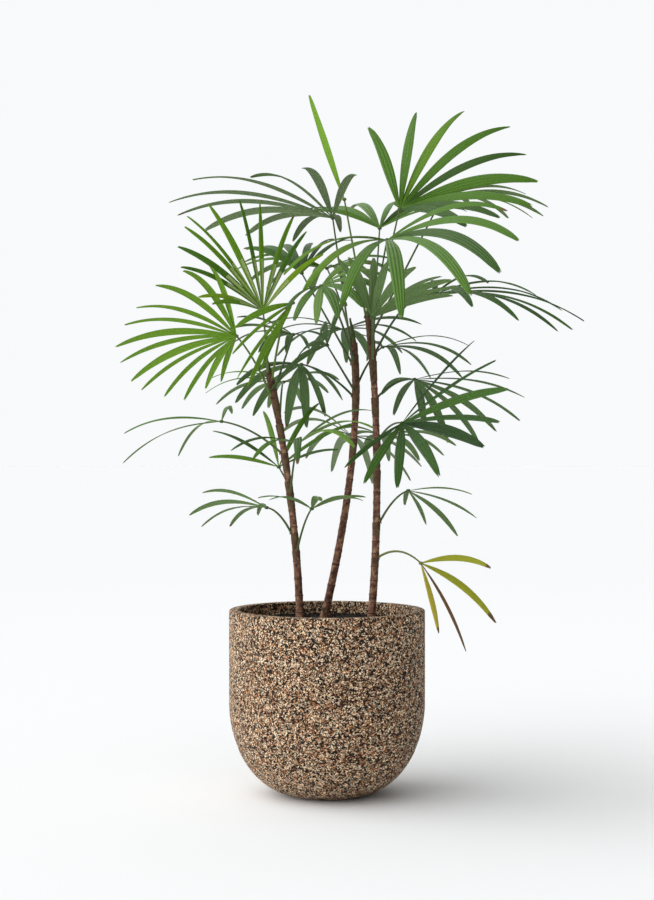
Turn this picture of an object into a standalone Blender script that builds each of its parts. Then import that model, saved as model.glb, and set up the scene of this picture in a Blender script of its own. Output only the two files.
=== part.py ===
"""A slender lady palm in a round-bellied planter.

Metres, +Z up. The origin is the centre of the planter's flat underside, and the
photograph looks along +Y. Three canes stand in the soil. Each frond is a stalk that
leaves its cane, a small hub, and a fan of blades cut apart right down to the hub.
"""

import math
import random
from collections import namedtuple

import bmesh
import bpy
from mathutils import Euler, Matrix, Vector
from mathutils.bvhtree import BVHTree

# Planter
POT_RADIUS = 0.170
POT_HEIGHT = 0.319
POT_WALL = 0.018
POT_FLOOR = 0.020
POT_FOOT_RADIUS = 0.052
POT_BELLY_HEIGHT = 0.160
POT_RIM_ROUNDING = 0.003
POT_SEGMENTS = 40
POT_BELLY_STEPS = 8
POT_MERGE_DISTANCE = 0.00005
SOIL_LEVEL = 0.300

# Distance kept between pieces that touch
GAP = 0.0003

# Distance within which the ends of a tube are welded
WELD_DISTANCE = 0.00001

# Canes
CANE_FOOT_RADIUS = 0.0072
CANE_TOP_RADIUS = 0.0054
CANE_FLARE_RADIUS = 0.0095
CANE_FLARE_HEIGHT = 0.014
CANE_STEPS = 10
CANE_RESOLUTION = 3
CANE_TEST_SIDES = 8
HEIGHT_HALVINGS = 20

# Fronds
STALK_BASE_RADIUS = 0.0021
STALK_HUB_RADIUS = 0.0014
STALK_STEPS = 4
STALK_RESOLUTION = 1
STALK_TEST_SIDES = 6
STALK_DROP_STEP = 0.007
STALK_DROPS = 12
HUB_RADIUS = 0.0048
HUB_SUBDIVISIONS = 1
BLADE_ROOT = 0.0020
BLADE_STEPS = 20
BLADE_STATIONS = (0, 5, 11, 17, 20)
BLADE_THICKNESS_RATIO = 0.0105
BLADE_RIDGE_SHARE = 0.7
BLADE_ROOT_WIDTH = 0.16
BLADE_WIDEST_AT = 0.5
BLADE_TAPER = 0.6
BLADE_TAPER_FROM = 0.55
BLADE_TAPER_POWER = 1.6
BLADE_TIP_FROM = 0.93
DROOP_POWER = 1.5
BLADE_CUP = 8.0
OUTER_BLADE_LIFT = 16.0
OUTER_BLADE_SHORTENING = 0.3
OUTER_BLADE_NARROWING = 0.2
ANGLE_SCATTER = 2.5
LENGTH_SCATTER = 0.05
DROOP_SCATTER = 0.08
TWIST_SCATTER = 22.0
TEST_MARGIN = 0.0012
SEED = 7

# Turn in degrees, extra droop and length factor, tried in this order to clear other fronds
DODGES = (
    (0, 0.0, 1.0), (4, 0.0, 1.0), (-4, 0.0, 1.0), (0, 0.15, 1.0), (0, -0.15, 1.0),
    (8, 0.0, 1.0), (-8, 0.0, 1.0), (0, 0.35, 1.0), (0, -0.35, 1.0), (7, 0.25, 0.95),
    (-7, 0.25, 0.95), (7, -0.25, 0.95), (-7, -0.25, 0.95), (12, 0.0, 0.95),
    (-12, 0.0, 0.95), (0, 0.6, 0.9), (0, -0.6, 0.9), (0, 0.0, 0.8), (10, 0.4, 0.8),
    (-10, 0.4, 0.8), (0, 0.0, 0.65),
)

# Foot, knee and tip of each cane's axis: it leaves the foot towards the knee, and bends
# away from it to reach the tip
Cane = namedtuple("Cane", "foot knee tip")
CANES = {
    "cane_left": Cane((-0.047, 0.010), (-0.054, 0.012, 0.515), (-0.101, 0.010, 0.731)),
    "cane_middle": Cane((-0.005, 0.040), (0.067, 0.036, 0.610), (0.046, 0.040, 0.788)),
    "cane_right": Cane((0.076, -0.020), (0.098, -0.018, 0.565), (0.072, -0.020, 0.826)),
}
STUB_PLACE = (0.003, 0.020)
STUB_RADIUS = 0.0055
STUB_HEIGHT = 0.009
STUB_TAPER = 0.8
STUB_RESOLUTION = 2

# The cane and height that a stalk leaves, the hub's centre, the way the fan faces
# (azimuth, elevation and roll, in degrees), its spread, how many blades, the longest
# blade, its width and droop, the stalk's arch, and the fan's colour
Frond = namedtuple(
    "Frond", "cane start hub facing spread blades length width droop arch tint"
)
FRONDS = {
    "frond_spear": Frond(
        "cane_right", 0.823, (0.030, 0.000, 1.030), (180, 70, 70),
        0, 1, 0.205, 0.014, 0.0, 0.00, "bright"),
    "frond_top_right": Frond(
        "cane_right", 0.808, (0.125, -0.020, 1.010), (10, 32, 43),
        134, 9, 0.260, 0.023, 0.7, 0.00, "mid"),
    "frond_top_left": Frond(
        "cane_middle", 0.762, (0.010, 0.020, 1.000), (-178, 12, 8),
        185, 10, 0.290, 0.018, 0.75, 0.00, "grey"),
    "frond_near_right": Frond(
        "cane_right", 0.784, (0.100, -0.120, 0.945), (-76, -13, 17),
        127, 8, 0.335, 0.024, 1.05, 0.01, "mid"),
    "frond_outer_left": Frond(
        "cane_left", 0.686, (-0.155, -0.040, 0.790), (-175, -5, 40),
        160, 13, 0.215, 0.013, 0.75, 0.01, "bright"),
    "frond_high_left": Frond(
        "cane_left", 0.728, (-0.110, -0.020, 0.835), (180, 60, -50),
        128, 12, 0.210, 0.012, 0.5, 0.00, "bright"),
    "frond_crown_near": Frond(
        "cane_right", 0.748, (0.075, -0.130, 0.815), (-66, 20, -15),
        98, 10, 0.190, 0.015, 0.45, 0.02, "mid"),
    "frond_right_side": Frond(
        "cane_right", 0.760, (0.190, 0.050, 0.870), (-20, -5, 8),
        150, 9, 0.270, 0.018, 0.9, 0.03, "deep"),
    "frond_near_low": Frond(
        "cane_right", 0.610, (0.125, -0.120, 0.640), (-60, -10, 43),
        125, 9, 0.255, 0.019, 0.3, 0.01, "deep"),
    "frond_right_middle": Frond(
        "cane_right", 0.685, (0.155, 0.060, 0.720), (60, -20, -7),
        94, 9, 0.275, 0.016, 0.6, 0.01, "deep"),
    "frond_inner_left": Frond(
        "cane_middle", 0.690, (-0.045, 0.030, 0.745), (116, -19, 23),
        110, 8, 0.215, 0.018, 1.0, 0.01, "deep"),
    "frond_near_left": Frond(
        "cane_left", 0.714, (-0.057, -0.120, 0.840), (-177, -58, 29),
        90, 6, 0.155, 0.017, 0.6, 0.03, "bright"),
    "frond_near_middle": Frond(
        "cane_middle", 0.748, (-0.010, -0.100, 0.870), (-60, -10, 30),
        150, 8, 0.140, 0.018, 1.2, 0.02, "grey"),
    "frond_inner_middle": Frond(
        "cane_middle", 0.700, (0.000, -0.030, 0.775), (-95, 10, 50),
        165, 8, 0.170, 0.016, 1.0, 0.00, "deep"),
    "frond_low_near": Frond(
        "cane_left", 0.520, (-0.050, -0.080, 0.605), (-76, 5, 16),
        108, 6, 0.235, 0.015, 0.85, 0.01, "mid"),
    "frond_low_back": Frond(
        "cane_middle", 0.615, (0.045, 0.120, 0.620), (99, -5, 23),
        112, 7, 0.260, 0.015, 1.0, 0.01, "grey"),
    "frond_back_right": Frond(
        "cane_middle", 0.710, (0.100, 0.110, 0.780), (68, -3, 2),
        90, 7, 0.260, 0.013, 0.8, 0.01, "deep"),
    "frond_back_left": Frond(
        "cane_left", 0.540, (-0.085, 0.050, 0.565), (80, 40, -5),
        170, 6, 0.180, 0.010, 0.5, 0.00, "mid"),
    "frond_far_left": Frond(
        "cane_left", 0.590, (-0.185, 0.030, 0.645), (130, -10, -10),
        103, 4, 0.245, 0.013, 0.85, 0.01, "mid"),
    "frond_low_left": Frond(
        "cane_left", 0.450, (-0.105, 0.000, 0.495), (138, -4, 18),
        70, 5, 0.185, 0.012, 0.85, 0.01, "mid"),
    "frond_low_middle": Frond(
        "cane_left", 0.420, (-0.026, -0.060, 0.495), (-83, 15, 0),
        151, 5, 0.135, 0.013, 0.7, 0.01, "mid"),
    "frond_low_right": Frond(
        "cane_right", 0.470, (0.140, -0.020, 0.525), (46, -27, -10),
        94, 5, 0.160, 0.011, 0.6, 0.01, "mid"),
    "frond_yellow": Frond(
        "cane_right", 0.410, (0.160, -0.050, 0.402), (35, -38, 85),
        100, 4, 0.185, 0.014, 0.9, 0.015, "yellow"),
    "frond_behind_left": Frond(
        "cane_middle", 0.774, (-0.045, 0.080, 0.910), (92, 27, -5),
        90, 8, 0.200, 0.015, 0.7, 0.00, "deep"),
    "frond_behind_top": Frond(
        "cane_right", 0.772, (0.095, 0.120, 0.995), (80, 25, 0),
        150, 9, 0.230, 0.018, 0.8, 0.00, "mid"),
    "frond_behind_right": Frond(
        "cane_right", 0.796, (0.210, 0.140, 1.055), (20, 0, 0),
        120, 8, 0.200, 0.014, 0.8, 0.00, "mid"),
    "frond_small_left": Frond(
        "cane_left", 0.700, (-0.060, 0.070, 0.800), (120, 0, 10),
        130, 7, 0.150, 0.013, 0.8, 0.00, "deep"),
    "frond_rear_top": Frond(
        "cane_middle", 0.783, (0.000, 0.190, 0.930), (100, 5, 0),
        150, 9, 0.230, 0.018, 0.9, 0.01, "mid"),
    "frond_rear_middle": Frond(
        "cane_middle", 0.720, (0.030, 0.220, 0.820), (90, -5, 0),
        150, 9, 0.230, 0.016, 0.9, 0.02, "deep"),
    "frond_rear_left": Frond(
        "cane_left", 0.640, (-0.080, 0.180, 0.720), (110, -5, 0),
        140, 8, 0.200, 0.015, 0.9, 0.02, "mid"),
    "frond_rear_low": Frond(
        "cane_right", 0.560, (0.100, 0.150, 0.620), (75, -5, 0),
        120, 8, 0.200, 0.015, 0.9, 0.02, "mid"),
}

TINTS = {
    "bright": (0.145, 0.300, 0.050),
    "mid": (0.080, 0.200, 0.040),
    "deep": (0.035, 0.110, 0.030),
    "grey": (0.090, 0.150, 0.075),
    "yellow": (0.420, 0.380, 0.060),
}


def clear_scene():
    for item in list(bpy.data.objects):
        bpy.data.objects.remove(item, do_unlink=True)


def new_collection(name):
    collection = bpy.data.collections.new(name)
    bpy.context.scene.collection.children.link(collection)
    return collection


def new_material(name, colour, roughness):
    material = bpy.data.materials.new(name)
    material.use_nodes = True
    shader = material.node_tree.nodes["Principled BSDF"]
    shader.inputs["Base Color"].default_value = (*colour, 1.0)
    shader.inputs["Roughness"].default_value = roughness
    shader.inputs["Metallic"].default_value = 0.0
    material.diffuse_color = (*colour, 1.0)
    return material


def new_object(name, data, collection, material=None):
    item = bpy.data.objects.new(name, data)
    collection.objects.link(item)
    if material is not None:
        data.materials.clear()
        data.materials.append(material)
    return item


def mesh_object(name, shape, collection, material=None):
    vertices, faces = shape
    mesh = bpy.data.meshes.new(name)
    mesh.from_pydata([tuple(v) for v in vertices], [], faces)
    mesh.update()
    return new_object(name, mesh, collection, material)


def turned_object(name, profile, collection, material):
    """Turn a profile of (radius, height) points about Z, its outer side running down."""
    mesh = bpy.data.meshes.new(name)
    edges = [(i, i + 1) for i in range(len(profile) - 1)]
    mesh.from_pydata([(radius, 0.0, height) for radius, height in profile], edges, [])
    item = new_object(name, mesh, collection, material)
    screw = item.modifiers.new("Turn", "SCREW")
    screw.steps = POT_SEGMENTS
    screw.render_steps = POT_SEGMENTS
    screw.use_merge_vertices = True
    screw.merge_threshold = POT_MERGE_DISTANCE
    screw.use_smooth_shade = False
    return item


def tube_object(name, path, collection, material, resolution):
    """A tapering round tube along (point, radius) pairs, with closed ends."""
    curve = bpy.data.curves.new(name, "CURVE")
    curve.dimensions = "3D"
    curve.bevel_depth = 1.0
    curve.bevel_resolution = resolution
    curve.use_fill_caps = True
    spline = curve.splines.new("POLY")
    spline.points.add(len(path) - 1)
    for target, (point, radius) in zip(spline.points, path):
        target.co = (*point, 1.0)
        target.radius = radius
    return new_object(name, curve, collection, material)


def curve_to_mesh(item, collection):
    """Swap a curve object for a mesh object with its caps welded on."""
    depsgraph = bpy.context.evaluated_depsgraph_get()
    mesh = bpy.data.meshes.new_from_object(item.evaluated_get(depsgraph))
    shape = bmesh.new()
    shape.from_mesh(mesh)
    bmesh.ops.remove_doubles(shape, verts=shape.verts, dist=WELD_DISTANCE)
    bmesh.ops.triangulate(shape, faces=shape.faces)
    shape.to_mesh(mesh)
    shape.free()
    name = item.name
    swapped = bpy.data.objects.new(name + "_mesh", mesh)
    collection.objects.link(swapped)
    swapped.matrix_world = item.matrix_world
    bpy.data.objects.remove(item, do_unlink=True)
    swapped.name = name
    return swapped


def belly_curve(top_radius, foot_radius, top, bottom):
    """Quarter ellipse from the end of the straight side in to the flat foot."""
    points = []
    for step in range(POT_BELLY_STEPS + 1):
        turn = math.radians(90.0) * step / POT_BELLY_STEPS
        radius = foot_radius + (top_radius - foot_radius) * math.cos(turn)
        points.append((radius, top - (top - bottom) * math.sin(turn)))
    return points


def build_pot(collection):
    material = new_material("pot_chips", (0.50, 0.34, 0.21), 0.75)
    inner = POT_RADIUS - POT_WALL
    outside = belly_curve(POT_RADIUS, POT_FOOT_RADIUS, POT_BELLY_HEIGHT, 0.0)
    inside = belly_curve(inner, POT_FOOT_RADIUS, POT_BELLY_HEIGHT, POT_FLOOR)
    rim = [
        (inner, POT_HEIGHT - POT_RIM_ROUNDING),
        (inner + POT_RIM_ROUNDING, POT_HEIGHT),
        (POT_RADIUS - POT_RIM_ROUNDING, POT_HEIGHT),
        (POT_RADIUS, POT_HEIGHT - POT_RIM_ROUNDING),
    ]
    profile = [(0.0, POT_FLOOR)] + inside[::-1] + rim + outside + [(0.0, 0.0)]
    return turned_object("pot", profile, collection, material)


def build_soil(collection):
    material = new_material("soil", (0.030, 0.022, 0.018), 0.95)
    radius = POT_RADIUS - POT_WALL - GAP
    foot = POT_FOOT_RADIUS - GAP
    side = belly_curve(radius, foot, POT_BELLY_HEIGHT, POT_FLOOR + GAP)
    profile = [(0.0, SOIL_LEVEL), (radius, SOIL_LEVEL)] + side + [(0.0, POT_FLOOR + GAP)]
    return turned_object("soil", profile, collection, material)


def cane_point(cane, share):
    """The cane's axis at a share of its length, on one smooth bend."""
    foot = Vector((*cane.foot, SOIL_LEVEL + GAP))
    knee = Vector(cane.knee)
    return foot.lerp(knee, share).lerp(knee.lerp(Vector(cane.tip), share), share)


def cane_radius(share):
    return CANE_FOOT_RADIUS + (CANE_TOP_RADIUS - CANE_FOOT_RADIUS) * share


def cane_path(cane, margin=0.0):
    """Axis points and radii from the flat cut at the soil, through the flare, to the tip."""
    foot = cane_point(cane, 0.0)
    foot.z -= margin
    first = CANE_FLARE_HEIGHT / (cane.tip[2] - SOIL_LEVEL)
    above = foot + Vector((0.0, 0.0, CANE_FLARE_HEIGHT))
    path = [(foot, CANE_FLARE_RADIUS + margin), (above, CANE_FOOT_RADIUS + margin)]
    for step in range(1, CANE_STEPS + 1):
        share = first + (1.0 - first) * step / CANE_STEPS
        path.append((cane_point(cane, share), cane_radius(share) + margin))
    path[-1][0].z += margin
    return path


def cane_at_height(cane, height):
    """The cane's axis at a height, found by halving the stretch that holds it."""
    low = 0.0
    high = 1.0
    for _ in range(HEIGHT_HALVINGS):
        middle = (low + high) / 2.0
        if cane_point(cane, middle).z < height:
            low = middle
        else:
            high = middle
    return cane_point(cane, low)


def frond_axes(frond):
    """The way the fan points, its left side, and its upper face's normal."""
    azimuth, elevation, roll = (math.radians(angle) for angle in frond.facing)
    turn = Euler((roll, -elevation, azimuth)).to_matrix()
    return turn.col[0].copy(), turn.col[1].copy(), turn.col[2].copy()


def stalk_path(frond, drop=0.0):
    """A curve from the cane's near side to the hub, arching up between them."""
    start = cane_at_height(CANES[frond.cane], frond.start - drop)
    hub = Vector(frond.hub)
    outward = Vector((hub.x - start.x, hub.y - start.y, 0.0)).normalized()
    start += outward * CANE_TOP_RADIUS
    middle = (start + hub) / 2.0 + Vector((0.0, 0.0, 2.0 * frond.arch))
    path = []
    for step in range(STALK_STEPS + 1):
        share = step / STALK_STEPS
        point = start.lerp(middle, share).lerp(middle.lerp(hub, share), share)
        radius = STALK_BASE_RADIUS + (STALK_HUB_RADIUS - STALK_BASE_RADIUS) * share
        path.append((point, radius))
    return path


def tube_shape(path, sides, margin=0.0):
    """Vertices and faces of a closed tube, for testing what touches what."""
    vertices = []
    faces = []
    for index, (point, radius) in enumerate(path):
        before = path[max(index - 1, 0)][0]
        after = path[min(index + 1, len(path) - 1)][0]
        along = (after - before).normalized()
        across = along.orthogonal().normalized()
        beside = along.cross(across)
        for side in range(sides):
            turn = 2.0 * math.pi * side / sides
            offset = across * math.cos(turn) + beside * math.sin(turn)
            vertices.append(point + offset * (radius + margin))
    for index in range(len(path) - 1):
        for side in range(sides):
            a = index * sides + side
            b = index * sides + (side + 1) % sides
            faces.append((a, b, b + sides, a + sides))
    faces.append(tuple(range(sides))[::-1])
    faces.append(tuple(range((len(path) - 1) * sides, len(path) * sides)))
    return vertices, faces


def blade_outline(share):
    """Half width along a blade as a share of its widest: narrow root, long taper, blunt tip."""
    swell = math.sin(min(share / BLADE_WIDEST_AT, 1.0) * math.pi / 2.0)
    rise = BLADE_ROOT_WIDTH + (1.0 - BLADE_ROOT_WIDTH) * swell
    beyond = max(0.0, (share - BLADE_TAPER_FROM) / (1.0 - BLADE_TAPER_FROM))
    taper = 1.0 - BLADE_TAPER * beyond ** BLADE_TAPER_POWER
    end = max(0.0, (share - BLADE_TIP_FROM) / (1.0 - BLADE_TIP_FROM))
    return rise * taper * math.sqrt(max(0.0, 1.0 - end * end))


def grow_blade(frond, index, scatter, turn=0.0, sag=0.0, shrink=1.0):
    """One blade's stations: centre, direction across, direction out of the face, half width.

    The blade leaves the hub within the fan, and bends down more and more towards its tip.
    """
    aim, side, normal = frond_axes(frond)
    share = index / (frond.blades - 1) if frond.blades > 1 else 0.5
    edge = (2.0 * share - 1.0) ** 2
    angle = math.radians(frond.spread * (0.5 - share) + turn + ANGLE_SCATTER * scatter[0])
    lift = math.radians(BLADE_CUP + OUTER_BLADE_LIFT * edge)
    heading = aim * math.cos(angle) + side * math.sin(angle)
    heading = heading * math.cos(lift) + normal * math.sin(lift)
    length = frond.length * (1.0 - OUTER_BLADE_SHORTENING * edge) * shrink
    length *= 1.0 + LENGTH_SCATTER * scatter[1]
    droop = frond.droop * (1.0 + DROOP_SCATTER * scatter[2]) + sag
    width = frond.width * (1.0 - OUTER_BLADE_NARROWING * edge)
    twist = Matrix.Rotation(math.radians(TWIST_SCATTER * scatter[3]), 3, heading)
    face = twist @ normal
    centre = Vector(frond.hub) + heading * BLADE_ROOT
    stations = []
    for step in range(BLADE_STEPS + 1):
        share = step / BLADE_STEPS
        along = (heading - Vector((0.0, 0.0, droop * share ** DROOP_POWER))).normalized()
        across = face.cross(along).normalized()
        face = along.cross(across).normalized()
        stations.append((centre.copy(), across, face, 0.5 * width * blade_outline(share)))
        centre += along * length / BLADE_STEPS
    return stations, length


def blade_shape(blade, margin=0.0):
    """A closed thin blade: roof-shaped sections at a few stations, drawn in to the tip."""
    stations, length = blade
    thickness = BLADE_THICKNESS_RATIO * length
    ridge = BLADE_RIDGE_SHARE * thickness + margin
    sole = (1.0 - BLADE_RIDGE_SHARE) * thickness + margin
    vertices = []
    faces = []
    for index in BLADE_STATIONS[:-1]:
        centre, across, face, half_width = stations[index]
        half_width += margin
        vertices.append(centre + across * half_width - face * sole)
        vertices.append(centre + face * ridge)
        vertices.append(centre - across * half_width - face * sole)
    vertices.append(stations[-1][0])
    rings = len(BLADE_STATIONS) - 1
    tip = rings * 3
    for corner in range(3):
        beside = (corner + 1) % 3
        for ring in range(rings - 1):
            a = ring * 3 + corner
            b = ring * 3 + beside
            faces.append((a, b, b + 3))
            faces.append((a, b + 3, a + 3))
        faces.append((tip - 3 + corner, tip - 3 + beside, tip))
    faces.append((2, 1, 0))
    return vertices, faces


def search_tree(shape):
    vertices, faces = shape
    return BVHTree.FromPolygons([tuple(v) for v in vertices], faces)


def is_clear(shape, trees):
    tree = search_tree(shape)
    return not any(tree.overlap(other) for other in trees)


def plan_fronds():
    """Choose every stalk and blade so that no frond touches a cane or another frond."""
    chance = random.Random(SEED)
    canes = {}
    for name, cane in CANES.items():
        canes[name] = search_tree(tube_shape(cane_path(cane), CANE_TEST_SIDES))
    stalks = {}
    guards = {}
    for name, frond in FRONDS.items():
        others = [tree for cane, tree in canes.items() if cane != frond.cane]
        others += list(guards.values())
        for drop in range(STALK_DROPS):
            path = stalk_path(frond, STALK_DROP_STEP * drop)
            if is_clear(tube_shape(path, STALK_TEST_SIDES, TEST_MARGIN), others):
                break
        else:
            print("stalk not clear:", name)
        stalks[name] = path
        guard = tube_shape(path, STALK_TEST_SIDES, HUB_RADIUS - STALK_HUB_RADIUS)
        guards[name] = search_tree(guard)
    plan = {}
    grown = []
    for name, frond in FRONDS.items():
        others = list(canes.values())
        others += [tree for other, tree in guards.items() if other != name]
        others += grown
        blades = []
        for index in range(frond.blades):
            scatter = [chance.uniform(-1.0, 1.0) for _ in range(4)]
            for turn, sag, shrink in DODGES:
                blade = grow_blade(frond, index, scatter, turn, sag, shrink)
                if is_clear(blade_shape(blade, TEST_MARGIN), others):
                    blades.append(blade)
                    break
        grown += [search_tree(blade_shape(blade)) for blade in blades]
        plan[name] = (stalks[name], blades)
    return plan


def apply_modifiers(item):
    depsgraph = bpy.context.evaluated_depsgraph_get()
    mesh = bpy.data.meshes.new_from_object(item.evaluated_get(depsgraph))
    item.modifiers.clear()
    item.data = mesh


def add_boolean(item, operation, operand):
    boolean = item.modifiers.new("Boolean", "BOOLEAN")
    boolean.operation = operation
    boolean.solver = "MANIFOLD"
    if isinstance(operand, bpy.types.Collection):
        boolean.operand_type = "COLLECTION"
        boolean.collection = operand
    else:
        boolean.object = operand


def shell_volume(faces):
    volume = 0.0
    for face in faces:
        corners = [loop.vert.co for loop in face.loops]
        for index in range(1, len(corners) - 1):
            volume += corners[0].dot(corners[index].cross(corners[index + 1])) / 6.0
    return volume


def keep_largest_shell(item):
    """Drop loose scraps and fill sealed hollows, keeping the frond's one outer skin."""
    shape = bmesh.new()
    shape.from_mesh(item.data)
    unseen = set(shape.faces)
    shells = []
    while unseen:
        front = [unseen.pop()]
        shell = list(front)
        while front:
            face = front.pop()
            for edge in face.edges:
                if len(edge.link_faces) != 2:
                    continue
                for near in edge.link_faces:
                    if near in unseen:
                        unseen.discard(near)
                        shell.append(near)
                        front.append(near)
        shells.append(shell)
    shells.sort(key=shell_volume)
    scraps = [face for shell in shells[:-1] for face in shell]
    bmesh.ops.delete(shape, geom=scraps, context="FACES")
    bmesh.ops.triangulate(shape, faces=shape.faces)
    shape.to_mesh(item.data)
    shape.free()


def build_frond(name, stalk, blades, tint, cutter, collection):
    material = new_material(name, TINTS[tint], 0.5)
    body = tube_object(name, stalk, collection, material, STALK_RESOLUTION)
    body = curve_to_mesh(body, collection)
    pieces = new_collection(name + "_pieces")
    hub = bmesh.new()
    bmesh.ops.create_icosphere(hub, subdivisions=HUB_SUBDIVISIONS, radius=HUB_RADIUS)
    mesh = bpy.data.meshes.new(name + "_hub")
    hub.to_mesh(mesh)
    hub.free()
    new_object(name + "_hub", mesh, pieces).location = stalk[-1][0]
    for index, blade in enumerate(blades):
        mesh_object(f"{name}_blade_{index}", blade_shape(blade), pieces)
    add_boolean(body, "UNION", pieces)
    apply_modifiers(body)
    for item in list(pieces.objects):
        bpy.data.objects.remove(item, do_unlink=True)
    bpy.data.collections.remove(pieces)
    add_boolean(body, "DIFFERENCE", cutter)
    apply_modifiers(body)
    keep_largest_shell(body)
    body.data.materials.clear()
    body.data.materials.append(material)
    return body


def build_canes(collection, cutters):
    bark = new_material("cane_bark", (0.150, 0.070, 0.040), 0.75)
    clearances = {}
    for name, cane in CANES.items():
        tube_object(name, cane_path(cane), collection, bark, CANE_RESOLUTION)
        clearance = cane_path(cane, GAP)
        cutter = tube_object(name + "_clearance", clearance, cutters, None, CANE_RESOLUTION)
        cutter = curve_to_mesh(cutter, cutters)
        cutter.hide_render = True
        cutter.display_type = "WIRE"
        clearances[name] = cutter
    foot = Vector((*STUB_PLACE, SOIL_LEVEL + GAP))
    tip = foot + Vector((0.0, 0.0, STUB_HEIGHT))
    path = [(foot, STUB_RADIUS), (tip, STUB_TAPER * STUB_RADIUS)]
    tube_object("old_stub", path, collection, bark, STUB_RESOLUTION)
    return clearances


def main():
    clear_scene()
    collection = new_collection("lady_palm")
    cutters = new_collection("cutters")
    build_pot(collection)
    build_soil(collection)
    clearances = build_canes(collection, cutters)
    for name, (stalk, blades) in plan_fronds().items():
        frond = FRONDS[name]
        build_frond(name, stalk, blades, frond.tint, clearances[frond.cane], collection)


if __name__ == "__main__":
    main()
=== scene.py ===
import math
import random
from collections import namedtuple

import bpy
from mathutils import Euler, Matrix, Vector, noise
from mathutils.bvhtree import BVHTree


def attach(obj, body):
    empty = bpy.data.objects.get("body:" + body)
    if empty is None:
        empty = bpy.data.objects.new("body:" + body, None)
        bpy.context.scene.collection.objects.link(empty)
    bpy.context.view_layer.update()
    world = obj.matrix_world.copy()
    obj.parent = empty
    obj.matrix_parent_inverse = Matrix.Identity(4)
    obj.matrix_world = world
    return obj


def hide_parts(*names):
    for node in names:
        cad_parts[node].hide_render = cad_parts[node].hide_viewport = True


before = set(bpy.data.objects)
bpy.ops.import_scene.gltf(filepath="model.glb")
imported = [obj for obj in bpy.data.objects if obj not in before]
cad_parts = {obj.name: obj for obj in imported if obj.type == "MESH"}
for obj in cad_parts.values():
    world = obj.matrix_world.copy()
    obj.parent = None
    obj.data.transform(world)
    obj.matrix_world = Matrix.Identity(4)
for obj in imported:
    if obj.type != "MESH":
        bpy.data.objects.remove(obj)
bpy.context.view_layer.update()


def screenColour(red, green, blue):
    # display values to the linear ones that shaders take
    return tuple(((c + 0.055) / 1.055) ** 2.4 if c > 0.04 else c / 12.92 for c in (red, green, blue))


anyTurn = (0.0, 6.28)  # radians, for what may lie any way round


def shares(steps):
    # from 0 to 1 in equal steps
    return [step / steps for step in range(steps + 1)]


def newMaterial(name, colour, roughness):
    material = bpy.data.materials.new(name)
    material.use_nodes = True
    shader = material.node_tree.nodes["Principled BSDF"]
    shader.inputs["Base Color"].default_value = (*colour, 1.0)
    shader.inputs["Roughness"].default_value = roughness
    material.diffuse_color = (*colour, 1.0)
    return material, material.node_tree, shader


def addNode(tree, kind, values=None, **settings):
    # a value is either set on its input or, when it is a socket, linked to it
    node = tree.nodes.new(kind)
    for key, value in settings.items():
        setattr(node, key, value)
    for key, value in (values or {}).items():
        if isinstance(value, bpy.types.NodeSocket):
            tree.links.new(value, node.inputs[key])
        else:
            node.inputs[key].default_value = value
    return node


def colourStops(ramp, stops, interpolation="LINEAR"):
    ramp.color_ramp.interpolation = interpolation
    while len(ramp.color_ramp.elements) < len(stops):
        ramp.color_ramp.elements.new(0.5)
    for element, (place, colour) in zip(ramp.color_ramp.elements, stops):
        element.position = place
        element.color = (*colour, 1.0)


def newGroup(name, sockets):
    group = bpy.data.node_groups.new(name, "ShaderNodeTree")
    for label, direction, kind, default in sockets:
        socket = group.interface.new_socket(name=label, in_out=direction, socket_type=kind)
        if default is not None:
            socket.default_value = default
    return group, group.nodes.new("NodeGroupInput"), group.nodes.new("NodeGroupOutput")


grainLook = {
    "patchDetail": 4.0, "patchRoughness": 0.6, "fineDetail": 3.0, "fineRoughness": 0.65,
    "specular": 0.2, "bump": 0.8,
}
veinLook = {
    "veins": 26.0, "cloudScale": 70.0, "cloudDetail": 3.0, "cloudFrom": 0.3, "cloudTo": 0.7,
    "roughness": 0.45, "bump": 0.35, "bumpDepth": 0.0002,
    # specular, least and most roughness
    "glossy": (0.24, 0.28, 0.44), "matt": (0.12, 0.55, 0.72),
}


def grainGroup():
    # patchy mask and fine grain height, for bark, soil and sheaths
    g = grainLook
    group, inlet, outlet = newGroup("surfaceGrain", [
        ("Patch Scale", "INPUT", "NodeSocketFloat", 60.0),
        ("Grain Scale", "INPUT", "NodeSocketFloat", 600.0),
        ("Patch", "OUTPUT", "NodeSocketFloat", None),
        ("Grain", "OUTPUT", "NodeSocketFloat", None)])
    place = addNode(group, "ShaderNodeTexCoord")
    for label, out, detail, roughness in (
            ("Patch Scale", "Patch", g["patchDetail"], g["patchRoughness"]),
            ("Grain Scale", "Grain", g["fineDetail"], g["fineRoughness"])):
        cloud = addNode(group, "ShaderNodeTexNoise", {
            "Vector": place.outputs["Object"], "Scale": inlet.outputs[label],
            "Detail": detail, "Roughness": roughness})
        group.links.new(cloud.outputs["Fac"], outlet.inputs[out])
    return group


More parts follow.
